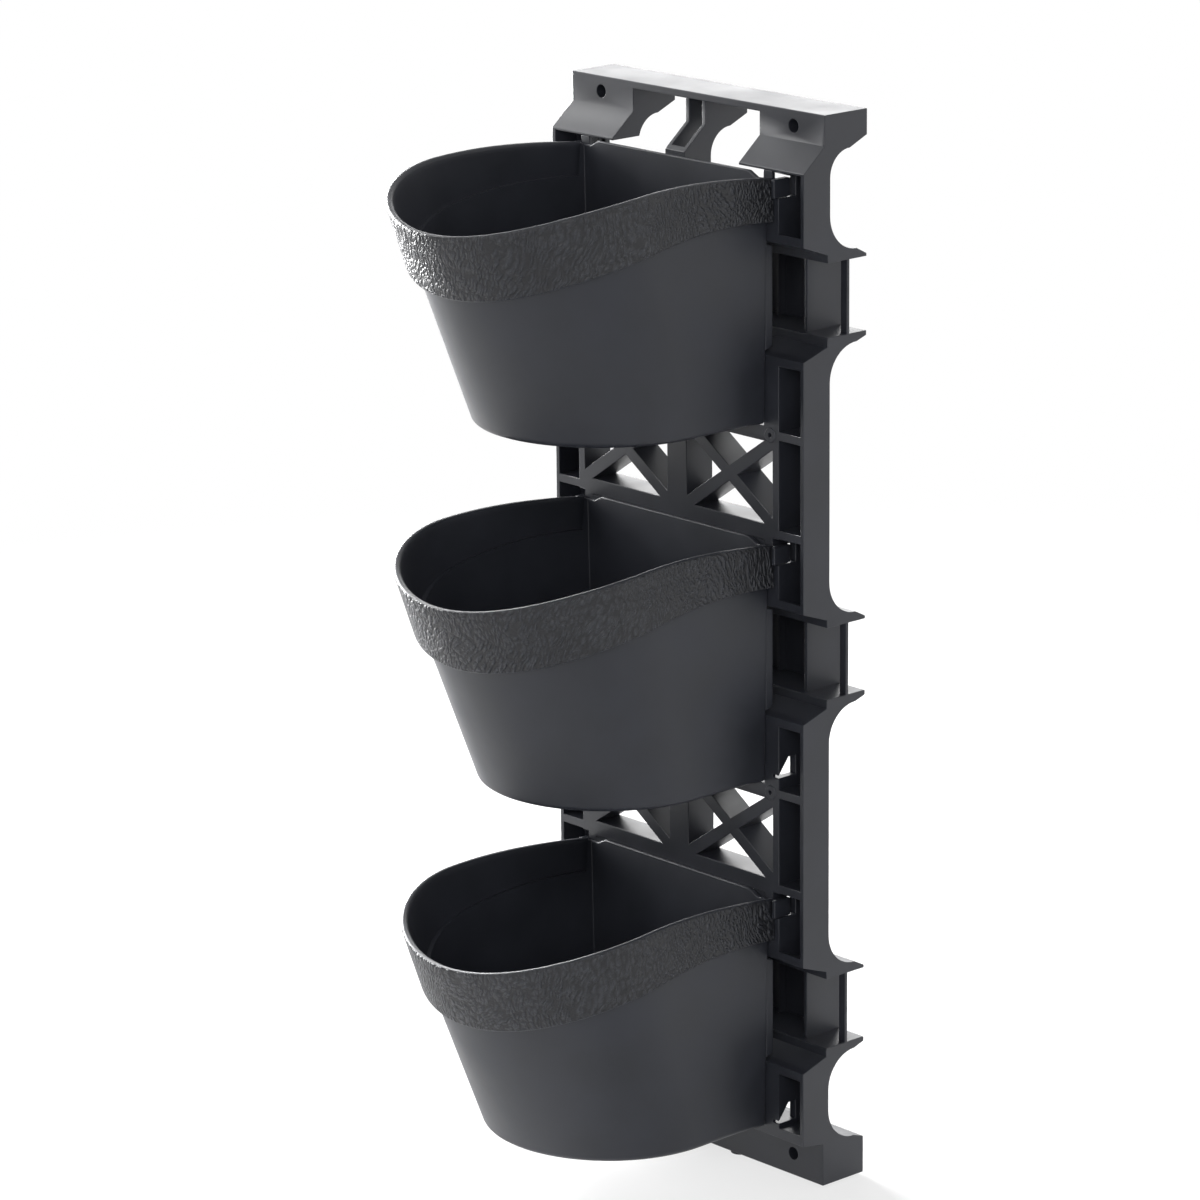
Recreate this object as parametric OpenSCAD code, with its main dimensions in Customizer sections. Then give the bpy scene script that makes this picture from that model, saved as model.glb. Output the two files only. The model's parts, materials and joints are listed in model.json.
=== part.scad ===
// Vertical garden planter: a moulded wall frame of three tiers with a lift-off pot on each tier.
// Millimetres. X runs along the frame's width from its middle, the wall is the plane Y = 0,
// the front faces -Y, and Z = 0 is the underside of the bottom bar.

/* [Frame] */
// Width over both side rails
frame_w = 220; // [214:1:232]
// Height over the bottom and top bars, shared by three equal tiers
frame_h = 665; // [665:1:700]
// Distance from the wall to the front of the uprights
frame_d = 51.7; // [50.7:0.1:54]
// Distance from the wall to the front of the two bars
bar_d = 34.7; // [34:0.1:36]
// Distance from the wall to the rear of the uprights
rear_d = 30; // [28:0.5:30.5]
// Thickness of the side rails
rail_t = 3; // [2.5:0.1:4]
// Distance from the frame's side to the inner face of the posts
post_in = 26.7; // [26:0.1:29]
// Thickness of the posts
post_t = 5.5; // [5:0.1:6.5]
// Width of the centre post
centre_w = 17.2; // [14:0.2:22]
// Radius of the wall screw holes
screw_r = 4; // [3:0.1:4.3]

/* [Recess] */
// Height of the recess floor above the tier's base
floor_z = 89; // [87:0.5:91]
// Height of the recess
recess_h = 44.6; // [43:0.2:46]
// Distance from the wall to the upright mouth of the recess
mouth_d = 32; // [31.5:0.5:34]
// Thickness of the recess's back panel
panel_t = 2.5; // [2:0.1:3.5]

/* [Lattice] */
// Width of the crossed struts
strut_w = 8; // [6:0.5:10]
// Depth of the struts and of the two members that carry them
lattice_d = 20; // [16:0.5:21]
// Height of the lower member
member_low = 10.1; // [8:0.1:12]
// Height of the upper member
member_high = 9.1; // [8:0.1:10]

/* [Pot] */
// Wall thickness
wall_t = 2.5; // [2:0.1:3.2]
// Thickness of the pot's floor
base_t = 3; // [2:0.1:5]
// Height of the pot's foot above the tier's base
foot_z = 35.2; // [34.6:0.1:38]
// Length of the straight sides at the foot
foot_run = 57.5; // [50:0.5:65]
// Length of the straight sides at the rim
rim_run = 111.8; // [105:0.1:118]
// How much wider the front curve is than the back, at the foot and on each side
foot_swell = 1.5; // [0:0.1:3]
// How much wider the front curve is than the back, at the rim and on each side
rim_swell = 6.3; // [3:0.1:8]
// Rim height above the tier's base at the front
rim_front = 166; // [163:0.5:168]
// Rim height a third of the way back
rim_third = 185.2; // [183:0.2:187]
// Rim height two thirds of the way back
rim_two_thirds = 189.3; // [187:0.1:191]
// Rim height at the back corners
rim_back = 183.6; // [183.2:0.1:185]
// How much higher the back of the rim is in its middle
rim_arch = 4; // [0:0.5:6]

/* [Collar] */
// Thickness of the grained collar at its lower edge
collar_low_t = 5.9; // [4.5:0.1:6.5]
// Thickness of the grained collar at the rim
collar_rim_t = 4.4; // [3.8:0.1:5]
// Lower edge height above the tier's base at the front
edge_front = 125.6; // [122:0.2:128]
// Lower edge height a third of the way back
edge_third = 148.7; // [146:0.1:151]
// Lower edge height two thirds of the way back
edge_two_thirds = 159; // [157:0.5:161]
// Lower edge height at the back
edge_back = 157.5; // [155:0.5:160]
// How far the pot's wall reaches up inside the collar
lap = 6; // [4:0.5:8]

/* [Hanger] */
// How far the pot's back boss reaches into the recess
boss_d = 6; // [5:0.5:10]
// Height of the side lugs
lug_h = 11.1; // [9:0.1:11.3]
// Clearance between a seated pot and the frame
seat_gap = 0.3; // [0.2:0.05:0.5]

/* [Hidden] */
$fn = 48;
tier_h = frame_h / 3;
half_w = frame_w / 2;
rail_x = half_w - rail_t;
post_x = half_w - post_in;
post_end = post_x + post_t;
centre_x = centre_w / 2;
web_d = rear_d + 4;
joint = 1;
ceil_z = floor_z + recess_h;

// Concave scoops behind the uprights
arc_steps = 12;
scoop_y = 8;
scoop_r = rear_d - scoop_y;
scoop_up = floor_z - 5.6 - scoop_r;
scoop_down = ceil_z + 6 + scoop_r;
foot_scoop = 26.4 + scoop_r;
head_scoop_r = 16;
head_scoop_y = rear_d - head_scoop_r;
head_scoop_z = frame_h - 21.6 - head_scoop_r;

// Lips of the recess
lip_low_front = floor_z - 11.8;
lip_low_mouth = floor_z - 5.5;
lip_high_front = ceil_z + 11.9;
lip_high_mouth = ceil_z + 4.7;
lip_t = 7;
ledge_z = lip_low_front - 7.3;
hood_z = lip_high_front + lip_t;

// Ends of the frame
sill_z = 36.6;
head_z = frame_h - 34;
plate_z = frame_h - 4.4;
bar_wall = 3;
block_x = 55;
screw_x = half_w - 26.2;
screw_low_z = 14;
screw_high_z = frame_h - 9.5;
screw_block = 7;
peg_x = 30;
peg_r = 6;
peg_h = 1.8;

// Members of the lattice, above the tier's base
low_z0 = 185.7;
low_z1 = low_z0 + member_low;
high_z1 = tier_h + 33.8;
high_z0 = high_z1 - member_high;
shelf_t = 5.4;

// Windows of the posts
slot_z = 172;
slot_top = 184;
slot_back = frame_d - 14.3;
lug_back = frame_d - 10.1;
draw_angle = 18;
slot_angle = draw_angle + 2;
window_z = 39.3;
window_top = 51.3;
window_peak = frame_d - 8.2;

// Flanges on the inner side of the posts
flange_w = 7.3;
flange_t = 2.5;
lip_w = 2;
sill_block = 3.6;

// Pot
pot_back = frame_d + seat_gap;
foot_half = post_x - 6;
rim_half = post_x - 2.8;
rim_ref_z = foot_z + 153.6;
boss_half = post_x - 5.3;
boss_t = 2.5;
side_s = [0, 0.025, 0.05, 0.18, 0.34, 0.5, 0.66, 0.83];
side_n = len(side_s);
arc_n = 60;
back_n = 11;
open_n = 2 * side_n + arc_n + 1;
ring_n = open_n + back_n;

FRAME_COLOUR = "#38393c";
POT_COLOUR = "#46474a";

// Helpers

// Draws a side view (wall distance, height) and extrudes it along X
module across(x0, x1) {
  translate([x0, 0, 0])
    rotate([90, 0, 90])
      linear_extrude(x1 - x0)
        children();
}

module on_tier(k) {
  translate([0, 0, (k - 1) * tier_h])
    children();
}

module left_side() {
  mirror([1, 0, 0])
    children();
}

// Straight box between two corners
module block(a, b) {
  translate(a)
    cube(b - a);
}

// Side views, as lists of points: wall distance and height

function arc(y, z, r, from, to) =
  [for (i = [0:arc_steps]) let (a = from + (to - from) * i / arc_steps) [y + r * cos(a), z + r * sin(a)]];

function raised(line, k) = [for (p = line) [p[0], p[1] + k * tier_h]];

// Lower side of a recess, from the rear of the upright round to its front
ledge_line = concat(arc(-scoop_y, scoop_up, scoop_r, 180, 90),
  [[0, floor_z - 3], [0, floor_z], [-mouth_d, floor_z], [-mouth_d, lip_low_mouth], [-frame_d, lip_low_front]]);

// Upper side of a recess, from the front of the upright round to its rear
hood_line = concat([[-frame_d, lip_high_front], [-mouth_d, lip_high_mouth], [-mouth_d, ceil_z], [0, ceil_z],
  [0, ceil_z + 1.9]], arc(-scoop_y, scoop_down, scoop_r, 270, 180));

foot_line = concat([[-frame_d, 30], [-bar_d, 27], [-bar_d, 0], [0, 0], [0, 23.7]],
  arc(-scoop_y, foot_scoop, scoop_r, 270, 180));

head_line = concat(arc(-head_scoop_y, head_scoop_z, head_scoop_r, 180, 90),
  [[0, frame_h - 15.6], [0, frame_h], [-bar_d, frame_h], [-bar_d, frame_h - 18.3], [-frame_d, frame_h - 32.6]]);

// Whole upright, broken at the three recesses
module upright_side() {
  polygon(concat(foot_line, ledge_line));
  for (k = [0:1])
    polygon(concat(raised(hood_line, k), raised(ledge_line, k + 1)));
  polygon(concat(raised(hood_line, 2), head_line));
}

// Part of a side view between two heights
module heights(z0, z1) {
  intersection() {
    children();
    translate([-frame_d - 1, z0])
      square([frame_d + 2, z1 - z0]);
  }
}

// Frame

module rail() {
  across(rail_x, half_w)
    upright_side();
  for (k = [1:3])
    on_tier(k) {
      block([half_w - 5.7, -16, floor_z], [half_w, -14, ceil_z]);
      block([rail_x, -16, floor_z - joint], [half_w, -14, ceil_z + joint]);
    }
}

module post() {
  difference() {
    across(post_x, post_end)
      heights(sill_z, head_z)
        upright_side();
    for (k = [1:3])
      on_tier(k)
        across(post_x - 1, post_end + 1)
          slot_side();
    for (k = [1:2])
      on_tier(k)
        across(post_x - 1, post_end + 1)
          window_side();
  }
  for (k = [1:3])
    on_tier(k)
      block([post_end - panel_t, -28, floor_z - joint], [post_end, 0, ceil_z + joint]);
  flanges(sill_z, ledge_z);
  for (k = [1:2]) {
    flanges(k * tier_h + high_z1 - tier_h + sill_block, k * tier_h + ledge_z);
    flanges((k - 1) * tier_h + hood_z, (k - 1) * tier_h + low_z0);
  }
  flanges(2 * tier_h + hood_z, head_z);
}

// Front flange and rear lip of a post between two heights
module flanges(z0, z1) {
  block([post_x - flange_w, -frame_d, z0], [post_x, flange_t - frame_d, z1]);
  block([post_x - lip_w, -web_d, z0], [post_x, -rear_d, z1]);
}

// Slot for a lug, open at the front, its top sloping up the way the pot is drawn off
module slot_side() {
  reach = frame_d + 1 - lug_back + seat_gap;
  polygon([[-frame_d - 1, slot_z], [-slot_back, slot_z], [-slot_back, slot_top], [seat_gap - lug_back, slot_top],
    [-frame_d - 1, slot_top + reach * tan(slot_angle)]]);
}

// Window low in a post, its front corner left standing above a narrow mouth
module window_side() {
  polygon([[-frame_d - 1, window_z], [-slot_back, window_z], [-slot_back, window_top], [-window_peak, window_top],
    [-frame_d, window_z + 1.5], [-frame_d - 1, window_z + 1.5]]);
}

// Shallow channel between a rail and its post, with shelves across it
module channel() {
  across(post_end, rail_x)
    difference() {
      heights(sill_z, head_z)
        upright_side();
      pocket_low(sill_z, 1);
      for (k = [0:2])
        translate([0, k * tier_h])
          pocket_high(low_z0 + 2.5);
      for (k = [0:1])
        translate([0, k * tier_h]) {
          pocket_plain(low_z0 + 2.5 + shelf_t, high_z0 + 2);
          pocket_low(high_z0 + 2 + shelf_t, 2);
        }
    }
}

module pocket_plain(z0, z1) {
  translate([-frame_d - 1, z0])
    square([frame_d + 1 - web_d, z1 - z0]);
}

// Pocket below the recess of tier k
module pocket_low(z0, k) {
  lip = (k - 1) * tier_h + lip_low_front;
  polygon([[-frame_d - 1, z0], [-web_d, z0], [-web_d, lip - 7.8], [-frame_d - 1, lip - 5.4]]);
}

module pocket_high(z1) {
  rise = (lip_high_front - lip_high_mouth) / (frame_d - mouth_d);
  top = lip_high_front + 5.5;
  polygon([[-frame_d - 1, top + rise], [-web_d, top - rise * (frame_d - web_d)],
    [-web_d, z1], [-frame_d - 1, z1]]);
}

module ledge() {
  across(-post_x, post_x)
    heights(ledge_z, floor_z)
      polygon(concat([[-frame_d, scoop_up]], ledge_line));
}

module hood() {
  across(-post_x, post_x)
    heights(ceil_z, hood_z)
      polygon(concat(hood_line, [[-frame_d, scoop_down]]));
}

// Back of a recess, stiffened by short upright ribs
module recess_back() {
  inner = post_end - panel_t;
  block([-inner, -panel_t, floor_z], [inner, 0, ceil_z]);
  for (x = [-2.5:1:2.5])
    translate([x * inner / 3, 0, 0])
      block([-1.25, -8, floor_z], [1.25, -panel_t, ceil_z]);
}

module centre_post() {
  difference() {
    across(-centre_x, centre_x) {
      heights(sill_z, ledge_z)
        upright_side();
      for (k = [0:1])
        heights(k * tier_h + hood_z, (k + 1) * tier_h + ledge_z)
          upright_side();
      heights(2 * tier_h + hood_z, plate_z)
        upright_side();
    }
    block([bar_wall - centre_x, bar_wall - frame_d, -1], [centre_x - bar_wall, 1, frame_h]);
  }
}

// Two members joined by crossed struts, right-hand bay
module lattice() {
  wide = post_x - centre_x;
  tall = high_z0 - low_z1;
  lean = atan2(tall, wide);
  front = -frame_d;
  difference() {
    union() {
      block([centre_x, front, low_z0], [post_x, front + lattice_d, low_z1]);
      block([centre_x, front, high_z0], [post_x, front + lattice_d, high_z1]);
      block([post_x - flange_w, front, high_z1], [post_x, front + 12, high_z1 + sill_block]);
      intersection() {
        block([centre_x, front, low_z1], [post_x, front + lattice_d, high_z0]);
        for (side = [-1, 1])
          translate([centre_x + wide / 2, front + lattice_d / 2, low_z1 + tall / 2])
            rotate([0, side * lean, 0])
              cube([wide + tall, lattice_d, strut_w], center = true);
      }
      translate([post_x - 1.8, front, high_z1 - 4.9])
        rotate([90, 0, 0])
          cylinder(r = 4.6, h = 0.4);
    }
    translate([post_x - 1.8, front + 5, high_z1 - 4.9])
      rotate([90, 0, 0])
        cylinder(r = 1.3, h = 6);
  }
}

module screw_hole(z) {
  for (side = [-1, 1])
    translate([side * screw_x, 1, z])
      rotate([90, 0, 0])
        cylinder(r = screw_r, h = frame_d + 2);
}

// Lightening pockets from the rear, left solid round the screw holes
module rear_pockets() {
  edge = screw_x - screw_block;
  out = screw_x + screw_block;
  for (side = [0, 1])
    mirror([side, 0, 0]) {
      across(bar_wall, edge)
        children();
      across(out, rail_x - bar_wall)
        children();
    }
}

module bottom_bar() {
  difference() {
    across(-rail_x, rail_x)
      heights(0, sill_z)
        polygon(concat(foot_line, [[-frame_d, foot_scoop]]));
    rear_pockets()
      polygon([[1, bar_wall], [1, 20.5], [-scoop_y, 23], [bar_wall - bar_d, 23], [bar_wall - bar_d, bar_wall]]);
    screw_hole(screw_low_z);
  }
  // Locating pegs on the underside
  for (side = [-1, 1])
    translate([side * peg_x, peg_r - bar_d, -peg_h])
      cylinder(r = peg_r, h = peg_h);
}

module top_bar() {
  difference() {
    union() {
      for (side = [0, 1])
        mirror([side, 0, 0])
          across(block_x, rail_x)
            heights(head_z, frame_h)
              polygon(concat([[-frame_d, head_scoop_z]], head_line));
      block([-block_x, -bar_d, plate_z], [block_x, 0, frame_h]);
    }
    for (side = [0, 1])
      mirror([side, 0, 0]) {
        across(block_x + bar_wall, screw_x - screw_block)
          head_pocket();
        across(screw_x + screw_block, rail_x - bar_wall)
          head_pocket();
      }
    screw_hole(screw_high_z);
  }
}

module head_pocket() {
  polygon([[1, frame_h - 12], [-head_scoop_y, frame_h - 18], [bar_wall - bar_d, frame_h - 18],
    [bar_wall - bar_d, plate_z], [1, plate_z]]);
}

// Pot

function mix(a, b, t) = a + (b - a) * t;

// Smooth curve through four heights, from the front (u = 0) to the back (u = 1)
function through(u, a, b, c, d) =
  -4.5 * a * (u - 1 / 3) * (u - 2 / 3) * (u - 1) + 13.5 * b * u * (u - 2 / 3) * (u - 1)
  - 13.5 * c * u * (u - 1 / 3) * (u - 1) + 4.5 * d * u * (u - 1 / 3) * (u - 2 / 3);

// The outline's points run from the right back corner round the front to the left back corner,
// and then along the back

// Share of the straight side at a point of the outline, 0 at the back and 1 where the curve starts
function side_share(i) =
  i < side_n ? side_s[i] : i > side_n + arc_n ? side_s[open_n - 1 - i] : 1;

// Place along the back, from -1 at the left corner to 1 at the right
function back_share(i) = 2 * (i - open_n + 1) / (back_n + 1) - 1;

// Point of the outline at height z, grown outwards by grow and held off the back by inset
function outline(i, z, grow, inset) =
  let (t = (z - foot_z) / (rim_ref_z - foot_z),
    half = mix(foot_half, rim_half, t),
    r = half + mix(foot_swell, rim_swell, t),
    run = mix(foot_run, rim_run, t),
    s = side_share(i),
    hand = i < side_n + arc_n / 2 ? 1 : -1,
    a = 180 * (i - side_n) / arc_n)
  i >= open_n
    ? [back_share(i) * (half + grow), -pot_back - inset, z]
    : s < 1
      ? [hand * (mix(half, r, s) + grow), -pot_back - inset - (run - inset) * s, z]
      : [(r + grow) * cos(a), -pot_back - run - (r + grow) * sin(a), z];

// Share of the depth from the front to the back at the rim
function depth_share(i) =
  let (p = outline(i, rim_ref_z, 0, 0),
    deep = rim_run + rim_half + rim_swell)
  1 + (p[1] + pot_back) / deep;

function rim_z(i) =
  i >= open_n
    ? rim_back + rim_arch * (1 - pow(back_share(i), 2))
    : through(depth_share(i), rim_front, rim_third, rim_two_thirds, rim_back);
function edge_z(i) = through(depth_share(i), edge_front, edge_third, edge_two_thirds, edge_back);
function lap_z(i) = edge_z(i) + lap;
function shell_z(i) = i >= open_n || side_share(i) < 0.03 ? rim_z(i) : lap_z(i);

// The first n points of the outline at a height for each
function ring(n, heights, grow, inset) =
  [for (i = [0:n - 1]) outline(i, heights[i], grow, inset)];

// Triangles between ring a and ring b of n points, closed where last is n
function strip(n, a, b, last) =
  [for (i = [0:last - 1], half = [0, 1])
    let (j = (i + 1) % n)
    half == 0 ? [a + i, b + i, b + j] : [a + i, b + j, a + j]];

// Triangles that close ring a: from side to side, then a fan along the back
function cap(a) =
  let (n = open_n, m = (open_n - 1) / 2)
  concat(
    [for (i = [1:m - 1], half = [0:(i < m - 1 ? 1 : 0)])
      half == 0 ? [a + i, a + i + 1, a + n - 1 - i] : [a + i + 1, a + n - 2 - i, a + n - 1 - i]],
    [for (i = [n - 2:ring_n - 1]) [a + 1, a + i, a + (i + 1) % ring_n]]);

function turned(faces) = [for (f = faces) [f[2], f[1], f[0]]];

module pot_shell() {
  n = ring_n;
  foot = [for (i = [0:n - 1]) foot_z];
  inside = [for (i = [0:n - 1]) foot_z + base_t];
  edge = [for (i = [0:n - 1]) edge_z(i)];
  top = [for (i = [0:n - 1]) shell_z(i)];
  points = concat(ring(n, foot, 0, 0), ring(n, edge, 0, 0), ring(n, top, 0, 0),
    ring(n, top, -wall_t, wall_t), ring(n, inside, -wall_t, wall_t));
  faces = concat(strip(n, 0, n, n), strip(n, n, 2 * n, n), strip(n, 2 * n, 3 * n, n),
    strip(n, 3 * n, 4 * n, n), cap(0), turned(cap(4 * n)));
  polyhedron(points, faces, convexity = 6);
}

module collar() {
  n = open_n;
  edge = [for (i = [0:n - 1]) edge_z(i)];
  over = [for (i = [0:n - 1]) lap_z(i)];
  top = [for (i = [0:n - 1]) rim_z(i)];
  points = concat(ring(n, edge, 0, 0), ring(n, over, 0, 0), ring(n, top, 0, 0),
    ring(n, top, collar_rim_t, 0), ring(n, edge, collar_low_t, 0));
  faces = concat(strip(n, n, 0, n - 1), strip(n, 2 * n, n, n - 1), strip(n, 3 * n, 2 * n, n - 1),
    strip(n, 4 * n, 3 * n, n - 1), strip(n, 0, 4 * n, n - 1),
    [[0, n, 2 * n, 3 * n, 4 * n]], [[5 * n - 1, 4 * n - 1, 3 * n - 1, 2 * n - 1, n - 1]]);
  polyhedron(points, faces, convexity = 6);
}

// Boss that sits in the recess and two side lugs that rest in the posts' slots
module hanger() {
  difference() {
    across(-boss_half, boss_half)
      boss_side(0);
    across(boss_t - boss_half, boss_half - boss_t)
      boss_side(boss_t);
  }
  inner = post_x + seat_gap;
  outer = post_end - seat_gap;
  z0 = slot_z + seat_gap;
  for (side = [0, 1])
    mirror([side, 0, 0]) {
      block([inner, -pot_back, z0], [outer, -lug_back, z0 + lug_h]);
      block([outer - 2.8, -pot_back - 3, z0], [outer, -pot_back, z0 + lug_h]);
    }
}

module boss_side(skin) {
  low = lip_low_front + 2.3 + skin;
  high = lip_high_front - 1.5 - skin;
  deep = boss_d - skin;
  front = -pot_back - (skin > 0 ? 1 : 0);
  polygon([[front, low], [-pot_back, low], [deep - pot_back, low + 0.32 * deep],
    [deep - pot_back, high - 0.365 * deep], [-pot_back, high], [front, high]]);
}

// Nodes

module rail_left() { color(FRAME_COLOUR) left_side() rail(); }
module rail_right() { color(FRAME_COLOUR) rail(); }
module post_left() { color(FRAME_COLOUR) left_side() post(); }
module post_right() { color(FRAME_COLOUR) post(); }
module channel_left() { color(FRAME_COLOUR) left_side() channel(); }
module channel_right() { color(FRAME_COLOUR) channel(); }
module mid_post() { color(FRAME_COLOUR) centre_post(); }
module top_end() { color(FRAME_COLOUR) top_bar(); }
module bottom_end() { color(FRAME_COLOUR) bottom_bar(); }
module ledge_on(k) { color(FRAME_COLOUR) on_tier(k) ledge(); }
module hood_on(k) { color(FRAME_COLOUR) on_tier(k) hood(); }
module recess_back_on(k) { color(FRAME_COLOUR) on_tier(k) recess_back(); }
module lattice_right_on(k) { color(FRAME_COLOUR) on_tier(k) lattice(); }
module lattice_left_on(k) { color(FRAME_COLOUR) on_tier(k) left_side() lattice(); }
module pot_shell_on(k) { color(POT_COLOUR) on_tier(k) pot_shell(); }
module collar_on(k) { color(POT_COLOUR) on_tier(k) collar(); }
module hanger_on(k) { color(POT_COLOUR) on_tier(k) hanger(); }

rail_left();
rail_right();
post_left();
post_right();
channel_left();
channel_right();
mid_post();  // centre_post
top_end();  // top_bar
bottom_end();  // bottom_bar
ledge_on(1);  // ledge_1
ledge_on(2);  // ledge_2
ledge_on(3);  // ledge_3
hood_on(1);  // hood_1
hood_on(2);  // hood_2
hood_on(3);  // hood_3
recess_back_on(1);  // recess_back_1
recess_back_on(2);  // recess_back_2
recess_back_on(3);  // recess_back_3
lattice_left_on(1);  // lattice_left_1
lattice_right_on(1);  // lattice_right_1
lattice_left_on(2);  // lattice_left_2
lattice_right_on(2);  // lattice_right_2
pot_shell_on(1);  // pot_shell_1
pot_shell_on(2);  // pot_shell_2
pot_shell_on(3);  // pot_shell_3
collar_on(1);  // collar_1
collar_on(2);  // collar_2
collar_on(3);  // collar_3
hanger_on(1);  // hanger_1
hanger_on(2);  // hanger_2
hanger_on(3);  // hanger_3
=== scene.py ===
import json
import math

import bmesh
import bpy
from mathutils import Matrix, Vector

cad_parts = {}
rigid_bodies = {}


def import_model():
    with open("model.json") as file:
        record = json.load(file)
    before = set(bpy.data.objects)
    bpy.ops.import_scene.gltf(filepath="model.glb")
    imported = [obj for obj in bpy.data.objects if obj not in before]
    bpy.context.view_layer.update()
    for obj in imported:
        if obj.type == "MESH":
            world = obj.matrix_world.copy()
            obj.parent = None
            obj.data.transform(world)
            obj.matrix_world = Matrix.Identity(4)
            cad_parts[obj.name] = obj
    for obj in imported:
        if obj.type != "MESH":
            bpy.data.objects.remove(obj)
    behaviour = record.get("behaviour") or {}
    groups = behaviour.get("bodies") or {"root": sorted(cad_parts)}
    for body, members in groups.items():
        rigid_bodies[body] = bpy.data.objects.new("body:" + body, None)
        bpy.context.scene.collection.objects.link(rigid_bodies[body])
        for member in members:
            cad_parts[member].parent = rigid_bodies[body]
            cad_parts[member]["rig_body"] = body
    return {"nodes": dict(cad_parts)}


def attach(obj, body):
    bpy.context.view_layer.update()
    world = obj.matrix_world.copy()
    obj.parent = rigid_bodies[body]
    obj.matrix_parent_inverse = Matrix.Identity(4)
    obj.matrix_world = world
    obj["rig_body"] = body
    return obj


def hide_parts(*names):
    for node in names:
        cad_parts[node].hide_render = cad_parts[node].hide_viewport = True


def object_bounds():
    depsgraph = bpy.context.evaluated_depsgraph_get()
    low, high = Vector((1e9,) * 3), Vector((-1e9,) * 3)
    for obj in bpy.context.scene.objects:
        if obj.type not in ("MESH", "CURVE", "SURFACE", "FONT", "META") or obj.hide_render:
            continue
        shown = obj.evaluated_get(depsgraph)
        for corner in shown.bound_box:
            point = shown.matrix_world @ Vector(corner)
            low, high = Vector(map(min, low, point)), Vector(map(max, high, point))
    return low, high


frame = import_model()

cad_low, cad_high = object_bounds()

# Wall frame. The real one is a single tall moulding in dark grey polypropylene: two side uprights, a
# centre post, two bars, a hooded recess on each tier and crossed struts between the tiers. It comes
# out of its mould in one shot, so its regions have no seams and its outer edges have a small radius.
MM = 0.001
# One tier: a third of the frame's height
TIER = 665 / 3 * MM
FRAME_PARTS = [n for n in frame["nodes"] if frame["nodes"][n]["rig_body"] == "wall_frame"]
FRAME_EDGE = 0.45 * MM
# Triangles closer to one plane than FLAT are joined, and outer edges sharper than SHARP get a radius
FLAT, SHARP = math.radians(0.6), math.radians(30)
SAME_POINT = 0.0001 * MM
# Cosine of the most that a corner's normal may lean away from its face
LEAST_COSINE = 0.6
scene_root = bpy.context.scene.collection


def deselect():
    if bpy.context.mode != "OBJECT":
        bpy.ops.object.mode_set(mode="OBJECT")
    for obj in bpy.context.view_layer.objects:
        obj.select_set(False)


def work_on(obj):
    deselect()
    obj.select_set(True)
    bpy.context.view_layer.objects.active = obj


def merged_copy(cad_name, name, home):
    """A copy of a CAD node as a new object in home, its loose triangles joined at their corners."""
    mesh = frame["nodes"][cad_name].data.copy()
    mesh.materials.clear()
    skin = bmesh.new()
    skin.from_mesh(mesh)
    bmesh.ops.remove_doubles(skin, verts=skin.verts, dist=SAME_POINT)
    skin.to_mesh(mesh)
    skin.free()
    obj = bpy.data.objects.new(name, mesh)
    home.objects.link(obj)
    return obj


def apply_all(obj):
    work_on(obj)
    for modifier in list(obj.modifiers):
        bpy.ops.object.modifier_apply(modifier=modifier.name)


def weigh_outer_edges(obj):
    """Joins flat triangles into whole faces and marks each sharp outer edge for a full radius."""
    work_on(obj)
    bpy.ops.object.mode_set(mode="EDIT")
    bpy.ops.mesh.select_all(action="SELECT")
    bpy.ops.mesh.dissolve_limited(angle_limit=FLAT)
    skin = bmesh.from_edit_mesh(obj.data)
    weight = skin.edges.layers.float.new("bevel_weight_edge")
    for edge in skin.edges:
        outer = edge.is_convex and edge.calc_face_angle(0) > SHARP
        edge[weight] = 1 if outer else 0
    bpy.ops.object.mode_set(mode="OBJECT")


def round_weighted(obj, width, segments, smooth):
    """Rounds each edge by its weight's share of width, and smooths turns of less than smooth degrees."""
    bevel = obj.modifiers.new("edge radius", "BEVEL")
    bevel.width = width
    bevel.segments = segments
    bevel.limit_method = "WEIGHT"
    bevel.use_clamp_overlap = False
    apply_all(obj)
    bpy.ops.object.shade_smooth_by_angle(angle=math.radians(smooth))


def keep_faces_flat(obj):
    """Lets large faces rule the normals, and sets upright each normal that leans from its face."""
    flat = obj.modifiers.new("flat faces stay flat", "WEIGHTED_NORMAL")
    flat.keep_sharp = True
    apply_all(obj)
    normals = []
    for face in obj.data.polygons:
        for corner in face.loop_indices:
            normal = obj.data.corner_normals[corner].vector.copy()
            leans = normal.dot(face.normal) <= LEAST_COSINE
            normals.append(face.normal.copy() if leans else normal)
    obj.data.normals_split_custom_set(normals)


parts = bpy.data.collections.new("frame parts")
scene_root.children.link(parts)
moulding = merged_copy(FRAME_PARTS[0], "wall_frame_moulding", scene_root)
for name in FRAME_PARTS[1:]:
    merged_copy(name, "part_" + name, parts)

# Corner blocks, part of the same moulding. Each one fills the gap between the end of a lower lattice
# member and the slot under it, a little behind the lattice's front, so that no two faces coincide.
BLOCK_SIZE = (17.5 * MM, 19.6 * MM, 3.6 * MM)
BLOCK_X, BLOCK_Y, BLOCK_Z = 74.75 * MM, -41.8 * MM, 184.1 * MM
for tier in (0, 1):
    for side in (-1, 1):
        spot = (side * BLOCK_X, BLOCK_Y, BLOCK_Z + tier * TIER)
        bpy.ops.mesh.primitive_cube_add(size=1, location=spot)
        block = bpy.context.object
        block.scale = BLOCK_SIZE
        bpy.ops.object.transform_apply(location=True, rotation=False, scale=True)
        block.users_collection[0].objects.unlink(block)
        parts.objects.link(block)

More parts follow.
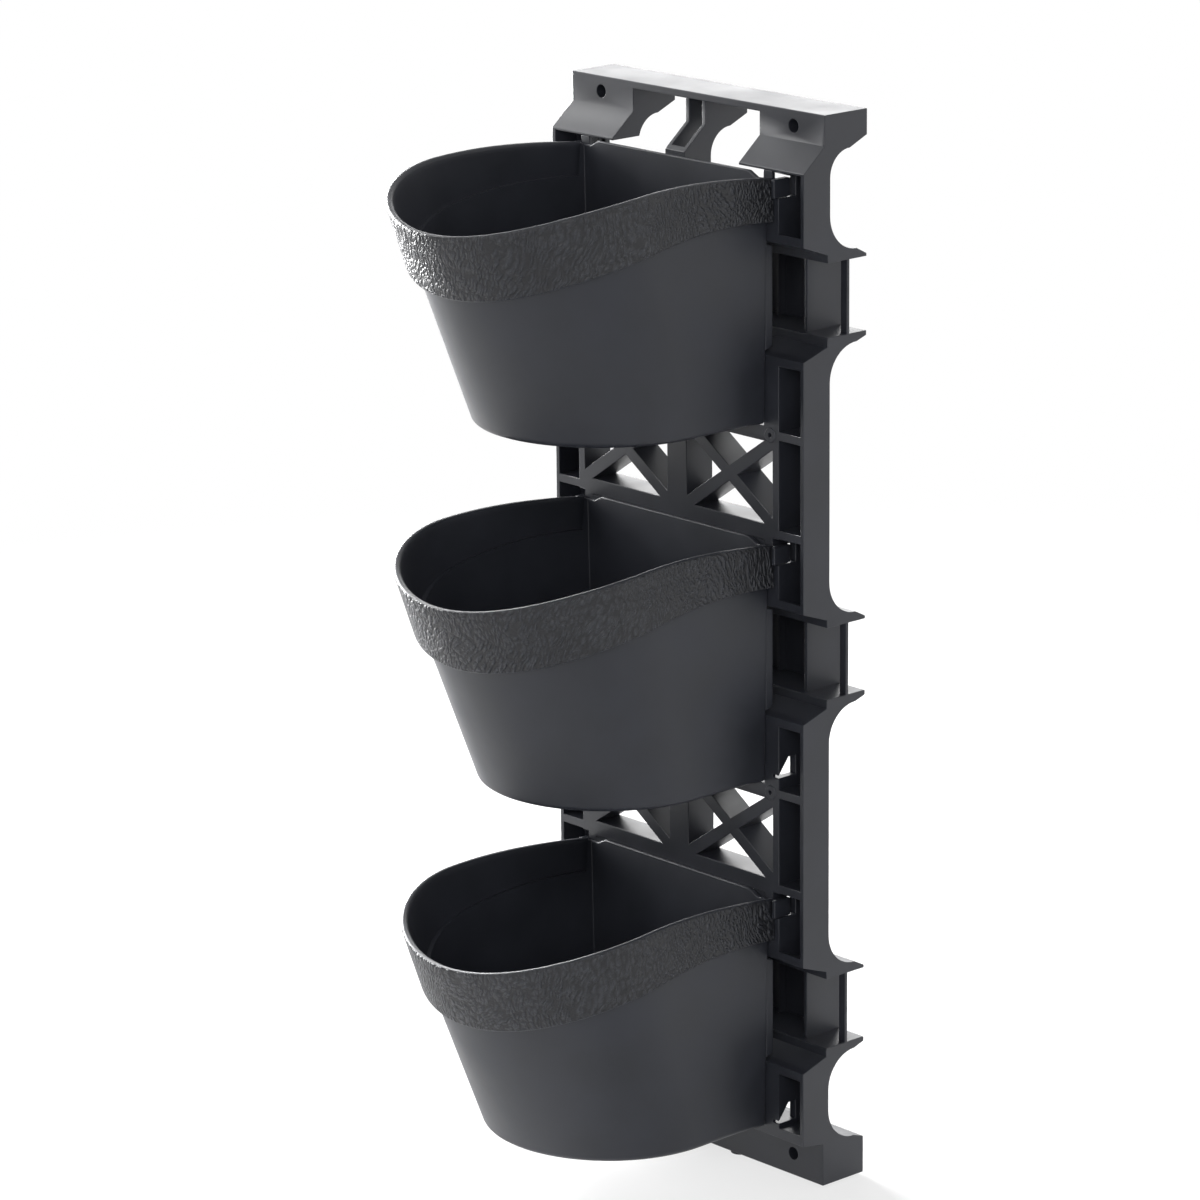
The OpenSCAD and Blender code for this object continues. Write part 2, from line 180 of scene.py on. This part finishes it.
weld = moulding.modifiers.new("one moulding", "BOOLEAN")
weld.operation = "UNION"
weld.operand_type = "COLLECTION"
weld.collection = parts
weld.solver = "MANIFOLD"
apply_all(moulding)
for part in list(parts.objects):
    bpy.data.objects.remove(part)
bpy.data.collections.remove(parts)
weigh_outer_edges(moulding)
round_weighted(moulding, FRAME_EDGE, segments=2, smooth=32)
keep_faces_flat(moulding)
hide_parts(*FRAME_PARTS)
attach(moulding, "wall_frame")

# Sockets of a colour Mix node, by number, because their names come more than once on the node
MIX_A, MIX_B, MIXED = 6, 7, 2


def linear(code):
    """A #rrggbb colour as Blender's linear RGBA."""
    shares = [int(code[i:i + 2], 16) / 255 for i in (1, 3, 5)]
    return tuple(c / 12.92 if c <= 0.04045 else ((c + 0.055) / 1.055) ** 2.4 for c in shares) + (1,)


def node(tree, kind, inputs=(), **settings):
    """Adds a node, sets its properties, and fills or links its inputs by name or number."""
    made = tree.nodes.new(kind)
    for key, value in settings.items():
        setattr(made, key, value)
    for key, value in dict(inputs).items():
        if isinstance(value, bpy.types.NodeSocket):
            tree.links.new(value, made.inputs[key])
        else:
            made.inputs[key].default_value = value
    return made


def cycles_per_metre(millimetres):
    return 1000 / millimetres


def new_material(name):
    material = bpy.data.materials.new(name)
    material.use_nodes = True
    material.node_tree.nodes.clear()
    return material, material.node_tree


# Injection-moulded polypropylene, coloured through with carbon black, from a spark-eroded mould: an
# even satin, with a faint orange peel and slightly duller and shinier patches where it flowed. Colour
# and cloud are its two tones, gloss is its middle roughness, and sheen is how much its skin reflects.
def moulded_polypropylene(name, colour, cloud, gloss, sheen):
    material, tree = new_material(name)
    place = node(tree, "ShaderNodeTexCoord").outputs["Object"]
    flow = node(tree, "ShaderNodeTexNoise", {
        "Vector": place, "Scale": cycles_per_metre(38), "Detail": 3.0}).outputs["Fac"]
    tone = node(tree, "ShaderNodeMapRange", {
        "Value": flow, "From Min": 0.3, "From Max": 0.7, "To Min": 0.0, "To Max": 1.0})
    tint = node(tree, "ShaderNodeMix", {
        0: tone.outputs[0], MIX_A: linear(colour), MIX_B: linear(cloud)}, data_type="RGBA")
    dull = node(tree, "ShaderNodeMapRange", {
        "Value": flow, "From Min": 0.3, "From Max": 0.7, "To Min": gloss - 0.04, "To Max": gloss + 0.05})
    # Sparks leave a texture of about 0.1 mm, drawn at 0.7 mm so that it shows
    spark = node(tree, "ShaderNodeTexNoise", {
        "Vector": place, "Scale": cycles_per_metre(0.7), "Detail": 2.0})
    peel = node(tree, "ShaderNodeTexNoise", {
        "Vector": place, "Scale": cycles_per_metre(9), "Detail": 1.0})
    wave = node(tree, "ShaderNodeBump", {
        "Height": peel.outputs["Fac"], "Strength": 0.25, "Distance": 0.12 * MM})
    relief = node(tree, "ShaderNodeBump", {
        "Height": spark.outputs["Fac"], "Strength": 0.35, "Distance": 0.05 * MM,
        "Normal": wave.outputs[0]})
    plastic = node(tree, "ShaderNodeBsdfPrincipled", {
        "Base Color": tint.outputs[MIXED], "Roughness": dull.outputs[0], "IOR": 1.49,
        "Specular IOR Level": sheen, "Normal": relief.outputs[0]})
    node(tree, "ShaderNodeOutputMaterial", {"Surface": plastic.outputs[0]})
    return material


frame_plastic = moulded_polypropylene("frame_polypropylene", "#22242a", "#292b32", gloss=0.42, sheen=0.5)
moulding.data.materials.clear()
moulding.data.materials.append(frame_plastic)

# Pots. Each is one moulding in anthracite polypropylene, 2.5 mm thick, with a bowed front, straight
# sides and a flat back that hangs on the frame. Its wall leans out towards the rim, and the rim dips
# at the front and sweeps up to the back corners. All three come from the same mould.
BACK = -52 * MM
WALL = 2.5 * MM
# At the foot and at the rim: height, half the width at the back, how much the sides bow out to the
# front, and how far they run forward before the half round of the front starts
FOOT_Z, RIM_REF_Z = 35.2 * MM, 188.8 * MM
FOOT_HALF, RIM_HALF = 77.3 * MM, 80.5 * MM
FOOT_SWELL, RIM_SWELL = 1.5 * MM, 6.3 * MM
FOOT_RUN, RIM_RUN = 57.5 * MM, 111.8 * MM
FOOT_REACH, RIM_REACH = FOOT_HALF + FOOT_SWELL, RIM_HALF + RIM_SWELL
FOOT_CENTRE, RIM_CENTRE = BACK - FOOT_RUN, BACK - RIM_RUN
RIM_DEPTH = RIM_RUN + RIM_HALF + RIM_SWELL
# Heights of the rim at the front, at a third and two thirds of its depth, and at the back
RIM_LINE = [166 * MM, 185.2 * MM, 189.3 * MM, 183.6 * MM]
# Along the back the rim is a raised tongue between two lower corners
RIM_TONGUE, RIM_CORNER = 186.4 * MM, 183 * MM
TONGUE_HALF = 67 * MM
# How finely the front's half round, the sides and the back are cut
ARC_STEPS = 96
SIDE_SHARES = [0.025, 0.05, 0.11, 0.18, 0.26, 0.34, 0.42, 0.5, 0.58, 0.66, 0.74, 0.83, 0.92]
BACK_CUTS = 23
# Shares of the sides' run, from 0 at the back: the last that counts as side, with some slack, and the
# last whose wall goes up to the rim behind the collar's end
SIDE_END, RIM_WRAP = 1.001, 0.03
NEAR, CLEAR = 0.002 * MM, 0.01 * MM


def mix(a, b, t):
    return a + (b - a) * t


def through(u, line):
    """Smooth curve through four heights, from the front (u = 0) to the back (u = 1)."""
    a, b, c, d = line
    return (-4.5 * a * (u - 1 / 3) * (u - 2 / 3) * (u - 1) + 13.5 * b * u * (u - 2 / 3) * (u - 1)
            - 13.5 * c * u * (u - 1 / 3) * (u - 1) + 4.5 * d * u * (u - 1 / 3) * (u - 2 / 3))


def select(test):
    """Selects the vertices that pass a test, and nothing else."""
    bpy.ops.mesh.select_mode(type="VERT")
    bpy.ops.mesh.select_all(action="DESELECT")
    skin = bmesh.from_edit_mesh(bpy.context.object.data)
    for v in skin.verts:
        if test(v):
            v.select_set(True)
    skin.select_flush_mode()
    bmesh.update_edit_mesh(bpy.context.object.data)


def near(a, b):
    return abs(a - b) < NEAR


def foot_outline(name, closed):
    """The pot's outline at its foot, as a wire: a circle, cut in half and drawn out to the back."""
    deselect()
    bpy.ops.mesh.primitive_circle_add(
        vertices=2 * ARC_STEPS, radius=FOOT_REACH, location=(0, FOOT_CENTRE, FOOT_Z))
    obj = bpy.context.object
    obj.name = name
    bpy.ops.object.transform_apply(location=True, rotation=False, scale=False)
    bpy.ops.object.mode_set(mode="EDIT")
    select(lambda v: v.co.y > FOOT_CENTRE + CLEAR)
    bpy.ops.mesh.delete(type="VERT")
    select(lambda v: near(v.co.y, FOOT_CENTRE))
    width, share = FOOT_REACH, 1
    for next_share in SIDE_SHARES[::-1] + [0]:
        step = (0, FOOT_RUN * (share - next_share), 0)
        bpy.ops.mesh.extrude_region_move(TRANSFORM_OT_translate={"value": step})
        next_width = mix(FOOT_HALF, FOOT_REACH, next_share)
        bpy.ops.transform.resize(value=(next_width / width, 1, 1), center_override=(0, 0, 0))
        width, share = next_width, next_share
    if closed:
        bpy.ops.mesh.edge_face_add()
        bpy.ops.mesh.subdivide(number_cuts=BACK_CUTS)
    return obj


def rim_place(foot):
    """Where a point of the foot's outline comes out at the rim's reference height."""
    if near(foot.y, BACK):
        return Vector((foot.x * RIM_HALF / FOOT_HALF, BACK, RIM_REF_Z))
    share = (BACK - foot.y) / FOOT_RUN
    if share < SIDE_END:
        half = mix(RIM_HALF, RIM_REACH, share)
        return Vector((math.copysign(half, foot.x), BACK - RIM_RUN * share, RIM_REF_Z))
    forward = (foot.y - FOOT_CENTRE) * RIM_REACH / FOOT_REACH
    return Vector((foot.x * RIM_REACH / FOOT_REACH, RIM_CENTRE + forward, RIM_REF_Z))


def height_on(line, foot):
    """Height of a curved edge above a point of the foot's outline."""
    return through(1 + (rim_place(foot).y - BACK) / RIM_DEPTH, line)


def rim_height(foot):
    """The same for the rim, whose back is a flat raised tongue between two lower corners."""
    if near(foot.y, BACK):
        return RIM_TONGUE if abs(foot.x) < TONGUE_HALF else RIM_CORNER
    return height_on(RIM_LINE, foot)


def lean(foot, z):
    """The point at height z on the wall above a point of the foot's outline."""
    return foot.lerp(rim_place(foot), (z - FOOT_Z) / (RIM_REF_Z - FOOT_Z))


def carry_to(obj, goals):
    """Moves each vertex, one by one, to its goal."""
    for index, goal in goals.items():
        skin = bmesh.from_edit_mesh(obj.data)
        skin.verts.ensure_lookup_table()
        for v in skin.verts:
            v.select_set(False)
        skin.verts[index].select_set(True)
        start = skin.verts[index].co.copy()
        bmesh.update_edit_mesh(obj.data)
        bpy.ops.transform.translate(value=goal - start)


def doubled(obj, marks, goal):
    """Extrudes a surface in place and carries each new vertex to goal(place, mark) of the old one.

    Returns each vertex's mark, and whether it is a new one."""
    skin = bmesh.from_edit_mesh(obj.data)
    skin.verts.ensure_lookup_table()
    spots = {index: skin.verts[index].co.copy() for index in marks}
    bpy.ops.mesh.select_all(action="SELECT")
    bpy.ops.mesh.normals_make_consistent(inside=False)
    bpy.ops.mesh.extrude_region_move(TRANSFORM_OT_translate={"value": (0, 0, 0)})
    skin = bmesh.from_edit_mesh(obj.data)
    tags, goals = {}, {}
    for v in skin.verts:
        twin = min(spots, key=lambda index: (spots[index] - v.co).length_squared)
        tags[v.index] = (marks[twin], v.select)
        if v.select:
            goals[v.index] = goal(v.co.copy(), marks[twin])
    carry_to(obj, goals)
    bpy.ops.mesh.select_all(action="SELECT")
    bpy.ops.mesh.normals_make_consistent(inside=False)
    bpy.ops.object.mode_set(mode="OBJECT")
    return tags


def mark_edges(obj, rule):
    """Gives each edge the share of the bevel's width that its radius gets."""
    weights = obj.data.attributes.new("bevel_weight_edge", "FLOAT", "EDGE")
    for edge in obj.data.edges:
        weights.data[edge.index].value = rule(*edge.vertices)


# Shell. The wall and floor of the pot: the outline drawn up to the collar, or to the rim along the
# back, closed at the foot and given an inner skin. A large radius runs round the foot's front and
# sides, where the real pot has one too, and small ones along its back.
SHELL_RADIUS = 4 * MM
BASE = 3 * MM
# The collar's lower edge, like RIM_LINE, and how far the shell reaches up behind the collar
EDGE_LINE = [125.6 * MM, 148.7 * MM, 159 * MM, 157.5 * MM]
LAP = 6 * MM
# The large radius stops this far short of the back, whose corners lie beyond CORNER_X
RADIUS_STOP = 10 * MM
CORNER_X = FOOT_HALF - MM - WALL
# The first lift of the shell's upper edge, before each of its points goes to its own height
LIFT = 100 * MM


def inner_skin(place):
    """The point of the pot's inner skin that faces a point of its outer skin."""
    t = (place.z - FOOT_Z) / (RIM_REF_Z - FOOT_Z)
    half = mix(FOOT_HALF, RIM_HALF, t)
    reach = half + mix(FOOT_SWELL, RIM_SWELL, t)
    run = mix(FOOT_RUN, RIM_RUN, t)
    if near(place.y, BACK):
        return Vector((place.x * (half - WALL) / half, BACK - WALL, place.z))
    share = (BACK - place.y) / run
    if share < SIDE_END:
        x = place.x - math.copysign(WALL, place.x)
        return Vector((x, BACK - WALL - (run - WALL) * share, place.z))
    inwards = (reach - WALL) / reach
    return Vector((place.x * inwards, BACK - run + (place.y - BACK + run) * inwards, place.z))


def inside_of(place, ring):
    return inner_skin(lean(place, FOOT_Z + BASE) if ring == "foot" else place)


shell = foot_outline("pot_shell", closed=True)
bpy.ops.mesh.select_all(action="SELECT")
bpy.ops.mesh.extrude_region_move(TRANSFORM_OT_translate={"value": (0, 0, LIFT)})
skin = bmesh.from_edit_mesh(shell.data)
goals = {}
for v in skin.verts:
    if v.co.z > FOOT_Z + MM:
        foot = Vector((v.co.x, v.co.y, FOOT_Z))
        to_rim = (BACK - foot.y) / FOOT_RUN < RIM_WRAP
        goals[v.index] = lean(foot, rim_height(foot) if to_rim else height_on(EDGE_LINE, foot) + LAP)
carry_to(shell, goals)
select(lambda v: near(v.co.z, FOOT_Z))
bpy.ops.mesh.edge_face_add()
skin = bmesh.from_edit_mesh(shell.data)
rings = {v.index: "top" if v.index in goals else "foot" for v in skin.verts}
ring_of = doubled(shell, rings, inside_of)


def shell_radius(a, b):
    (ring_a, in_a), (ring_b, in_b) = ring_of[a], ring_of[b]
    ends = [shell.data.vertices[i].co for i in (a, b)]
    at_back = all(near(c.y, BACK) or near(c.y, BACK - WALL) for c in ends)
    if in_a != in_b:
        return 0
    if ring_a == ring_b == "foot":
        return 1 if all(c.y < BACK - RADIUS_STOP for c in ends) else 0.3
    if ring_a == ring_b == "top":
        return 0.2 if at_back else 0
    at_corner = at_back and all(abs(c.x) > CORNER_X for c in ends)
    return 0.3 if at_corner else 0


mark_edges(shell, shell_radius)
round_weighted(shell, SHELL_RADIUS, segments=5, smooth=40)

# Collar. A thicker band round the pot's front and sides, moulded on its wall, from a curved lower edge
# up to the rim: the outline drawn up in rows and given an outer skin. Its lip is rounded, and its lower
# edge and its two ends have smaller radii.
COLLAR_RADIUS = 2.1 * MM
COLLAR_LOW, COLLAR_RIM = 5.9 * MM, 4.4 * MM
COLLAR_ROWS = 7


def outwards(foot):
    """Which way the collar grows at a point of the foot's outline."""
    if foot.y > FOOT_CENTRE + CLEAR:
        return Vector((math.copysign(1, foot.x), 0, 0))
    return Vector((foot.x, foot.y - FOOT_CENTRE, 0)).normalized()


def foot_under(place):
    return min(feet, key=lambda f: (f.x - place.x) ** 2 + (f.y - place.y) ** 2)


def outside_of(place, mark):
    foot, row = mark
    return place + outwards(foot) * mix(COLLAR_LOW, COLLAR_RIM, row / COLLAR_ROWS)


collar = foot_outline("collar", closed=False)
feet = [v.co.copy() for v in bmesh.from_edit_mesh(collar.data).verts]
bpy.ops.mesh.select_all(action="SELECT")
for row in range(COLLAR_ROWS):
    bpy.ops.mesh.extrude_region_move(TRANSFORM_OT_translate={"value": (0, 0, MM)})
skin = bmesh.from_edit_mesh(collar.data)
plan = {v.index: (foot_under(v.co), round((v.co.z - FOOT_Z) / MM)) for v in skin.verts}
goals = {}
for index, (foot, row) in plan.items():
    low, high = height_on(EDGE_LINE, foot), height_on(RIM_LINE, foot)
    goals[index] = lean(foot, mix(low, high, row / COLLAR_ROWS))
carry_to(collar, goals)
mark_of = doubled(collar, plan, outside_of)


def collar_radius(a, b):
    ((_, row_a), out_a), ((_, row_b), out_b) = mark_of[a], mark_of[b]
    at_end = all(near(collar.data.vertices[i].co.y, BACK) for i in (a, b))
    if row_a == row_b == COLLAR_ROWS and out_a == out_b:
        return 0 if at_end else 1
    if row_a == row_b == 0 and out_a and out_b:
        return 0.5
    return 0.4 if out_a and out_b and at_end else 0


mark_edges(collar, collar_radius)
round_weighted(collar, COLLAR_RADIUS, segments=4, smooth=40)

# Hanger. The boss on the pot's back, which sits in the frame's recess, and the two lugs, which rest in
# the slots of the posts and carry the pot. It is moulded with the wall, and its edges are rounded.
HANGER_EDGE = 0.7 * MM
hanger = merged_copy("hanger_1", "hanger", scene_root)
weigh_outer_edges(hanger)
round_weighted(hanger, HANGER_EDGE, segments=2, smooth=32)
keep_faces_flat(hanger)


# The same polypropylene out of an etched mould: short wrinkles like bark, about 2 mm apart and three
# times as long, whose lean drifts round the band. The lip above them and the inside stay smooth. Its
# colour is painted darker in the furrows between the wrinkles, as painted shade.
def grained_polypropylene():
    material, tree = new_material("collar_grained_polypropylene")
    place = node(tree, "ShaderNodeTexCoord").outputs["Object"]

    def bend(path, size, reach):
        """Pushes a path to and fro by up to about a quarter of reach."""
        drift = node(tree, "ShaderNodeTexNoise", {
            "Vector": place, "Scale": cycles_per_metre(size), "Detail": 2.0})
        shake = node(tree, "ShaderNodeVectorMath", {
            0: drift.outputs["Color"], 1: (0.5, 0.5, 0.5)}, operation="SUBTRACT")
        shift = node(tree, "ShaderNodeVectorMath", {
            0: shake.outputs[0], "Scale": reach}, operation="SCALE")
        bent = node(tree, "ShaderNodeVectorMath", {0: path, 1: shift.outputs[0]}, operation="ADD")
        return bent.outputs[0]

    path = bend(bend(place, 60, 34 * MM), 5, 3 * MM)
    slant = node(tree, "ShaderNodeMapping", {"Vector": path, "Rotation": (0, math.radians(-30), 0)})
    stretch = node(tree, "ShaderNodeVectorMath", {
        0: slant.outputs[0], 1: (1, 1, 0.32)}, operation="MULTIPLY")
    cells = node(tree, "ShaderNodeTexVoronoi", {
        "Vector": stretch.outputs[0], "Scale": cycles_per_metre(2.0), "Smoothness": 0.25},
        feature="SMOOTH_F1")
    # 1 on a wrinkle's crest and 0 in the furrow between wrinkles: it sets both the relief and the
    # painted shade
    crest_and_furrow_shade = node(tree, "ShaderNodeMapRange", {
        "Value": cells.outputs["Distance"], "From Min": 0.15, "From Max": 0.7, "To Min": 1.0,
        "To Max": 0.0})
    crumb = node(tree, "ShaderNodeTexNoise", {
        "Vector": path, "Scale": cycles_per_metre(1.3), "Detail": 2.0})
    height = node(tree, "ShaderNodeMath", {
        0: crumb.outputs["Fac"], 1: 0.3, 2: crest_and_furrow_shade.outputs[0]}, operation="MULTIPLY_ADD")
    relief = node(tree, "ShaderNodeBump", {
        "Height": height.outputs[0], "Strength": 1.0, "Distance": 1.0 * MM})
    # Painted shade: the furrows get the darker tone and the crests the lighter one
    tint = node(tree, "ShaderNodeMix", {
        0: crest_and_furrow_shade.outputs[0], MIX_A: linear("#17181c"), MIX_B: linear("#2f3137")}, data_type="RGBA")
    plastic = node(tree, "ShaderNodeBsdfPrincipled", {
        "Base Color": tint.outputs[MIXED], "Roughness": 0.48, "IOR": 1.49, "Specular IOR Level": 0.42,
        "Normal": relief.outputs[0]})
    node(tree, "ShaderNodeOutputMaterial", {"Surface": plastic.outputs[0]})
    return material


pot_plastic = moulded_polypropylene("pot_polypropylene", "#24262c", "#2a2c33", gloss=0.46, sheen=0.38)
collar_plastic = grained_polypropylene()
for master in (shell, hanger, collar):
    master.data.materials.append(pot_plastic)
collar.data.materials.append(collar_plastic)
# The grain covers the band's upright outer faces, from its lower edge up to where the lip starts
OUTER_COSINE = 0.8
for face in collar.data.polygons:
    beyond = min(0, face.center.y - RIM_CENTRE)
    side = Vector((face.center.x, beyond, 0)).normalized()
    face.material_index = 1 if face.normal.dot(side) > OUTER_COSINE else 0

for tier, body in enumerate(["pot_low", "pot_mid", "pot_top"]):
    for master, part in ((shell, "pot_shell"), (collar, "collar"), (hanger, "hanger")):
        piece = bpy.data.objects.new(f"{body}_{master.name}", master.data.copy())
        scene_root.objects.link(piece)
        piece.data.transform(Matrix.Translation((0, 0, tier * TIER)))
        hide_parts(f"{part}_{tier + 1}")
        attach(piece, body)
for master in (shell, collar, hanger):
    bpy.data.objects.remove(master)

# Studio: a pale floor that fades into a white surround. Both are whitened only in what the camera
# sees, straight, mirrored or through glass, so the floor keeps the planter's shadow and the planter
# gets no light from it.
FLOOR_SIZE = 9
FLOOR_GAP = 0.02 * MM
FLOOR_WHITENING = 0.72
FADE_START, FADE_END = 0.5, 1.6
SURROUND_LIGHT = 0.25
bpy.ops.mesh.primitive_plane_add(size=FLOOR_SIZE, location=(0, 0, cad_low.z - FLOOR_GAP))
floor = bpy.context.object
floor.name = "floor"


def to_camera(tree):
    """1 for rays from the camera, a mirror or through glass, and 0 for light on its way elsewhere."""
    ray = node(tree, "ShaderNodeLightPath").outputs
    mirrored = node(tree, "ShaderNodeMath", {
        0: ray["Is Camera Ray"], 1: ray["Is Glossy Ray"]}, operation="MAXIMUM")
    seen = node(tree, "ShaderNodeMath", {
        0: mirrored.outputs[0], 1: ray["Is Transmission Ray"]}, operation="MAXIMUM")
    return seen.outputs[0]


# Floor board: matt white paint
floor_paint, tree = new_material("floor_white")
matt = node(tree, "ShaderNodeBsdfDiffuse", {"Color": linear("#f4f4f4")})
glow = node(tree, "ShaderNodeEmission", {"Color": linear("#ffffff"), "Strength": 1.0})
whiten = node(tree, "ShaderNodeMath", {0: to_camera(tree), 1: FLOOR_WHITENING}, operation="MULTIPLY")
white = node(tree, "ShaderNodeMixShader", {
    0: whiten.outputs[0], 1: matt.outputs[0], 2: glow.outputs[0]})
clear = node(tree, "ShaderNodeBsdfTransparent")
place = node(tree, "ShaderNodeTexCoord").outputs["Object"]
away = node(tree, "ShaderNodeVectorMath", {0: place}, operation="LENGTH")
fade = node(tree, "ShaderNodeMapRange", {
    "Value": away.outputs["Value"], "From Min": FADE_START, "From Max": FADE_END},
    interpolation_type="SMOOTHSTEP")
ground = node(tree, "ShaderNodeMixShader", {
    0: fade.outputs[0], 1: white.outputs[0], 2: clear.outputs[0]})
node(tree, "ShaderNodeOutputMaterial", {"Surface": ground.outputs[0]})
floor.data.materials.append(floor_paint)

surround = bpy.data.worlds.new("white surround")
bpy.context.scene.world = surround
surround.use_nodes = True
tree = surround.node_tree
tree.nodes.clear()
dim = node(tree, "ShaderNodeBackground", {"Color": linear("#ffffff"), "Strength": SURROUND_LIGHT})
bright = node(tree, "ShaderNodeBackground", {"Color": linear("#ffffff"), "Strength": 1.0})
sky = node(tree, "ShaderNodeMixShader", {
    0: to_camera(tree), 1: dim.outputs[0], 2: bright.outputs[0]})
node(tree, "ShaderNodeOutputWorld", {"Surface": sky.outputs[0]})

# Soft boxes: the left one draws the bright edge down each pot's left side
LAMP_SIZE = 1.2
LAMP_AIM = Vector((0, -0.1, 0.33))
for name, spot, power in (
    ("key", Vector((-1.7, -1.5, 1.7)), 17),
    ("left", Vector((-2.2, 0.2, 0.8)), 300),
    ("rear left", Vector((-1.6, 1.7, 1.0)), 21),
    ("front right", Vector((1.8, -1.8, 1.4)), 24),
    ("rear right", Vector((1.7, 1.6, 1.0)), 6)):
    lamp = bpy.data.lights.new(name, "AREA")
    lamp.size = LAMP_SIZE
    lamp.energy = power
    stand = bpy.data.objects.new(name, lamp)
    scene_root.objects.link(stand)
    stand.location = spot
    stand.rotation_euler = (LAMP_AIM - spot).to_track_quat("-Z", "Y").to_euler()

# Camera: the photograph's own angle, distance and lens, found by fitting the frame's edges to it
TURN, RISE, ROLL = math.radians(48.07), math.radians(15.47), math.radians(-0.58)
AIM, DISTANCE = Vector((-0.1281, 0, 0.3194)), 3.301
FOCAL_PIXELS, PHOTO_PIXELS = 5200, 1200
SENSOR = 36
back = Vector((math.sin(TURN) * math.cos(RISE), -math.cos(TURN) * math.cos(RISE), math.sin(RISE)))
right = Vector((math.cos(TURN), math.sin(TURN), 0))
up = back.cross(right)
right, up = right * math.cos(ROLL) + up * math.sin(ROLL), up * math.cos(ROLL) - right * math.sin(ROLL)
lens = bpy.data.cameras.new("camera")
lens.sensor_width = SENSOR
lens.lens = FOCAL_PIXELS / PHOTO_PIXELS * SENSOR
lens.clip_end = 50
camera = bpy.data.objects.new("camera", lens)
scene_root.objects.link(camera)
place = AIM + back * DISTANCE
camera.matrix_world = Matrix((
    (right.x, up.x, back.x, place.x),
    (right.y, up.y, back.y, place.y),
    (right.z, up.z, back.z, place.z),
    (0, 0, 0, 1)))
bpy.context.scene.camera = camera
bpy.context.scene.view_settings.view_transform = "Standard"
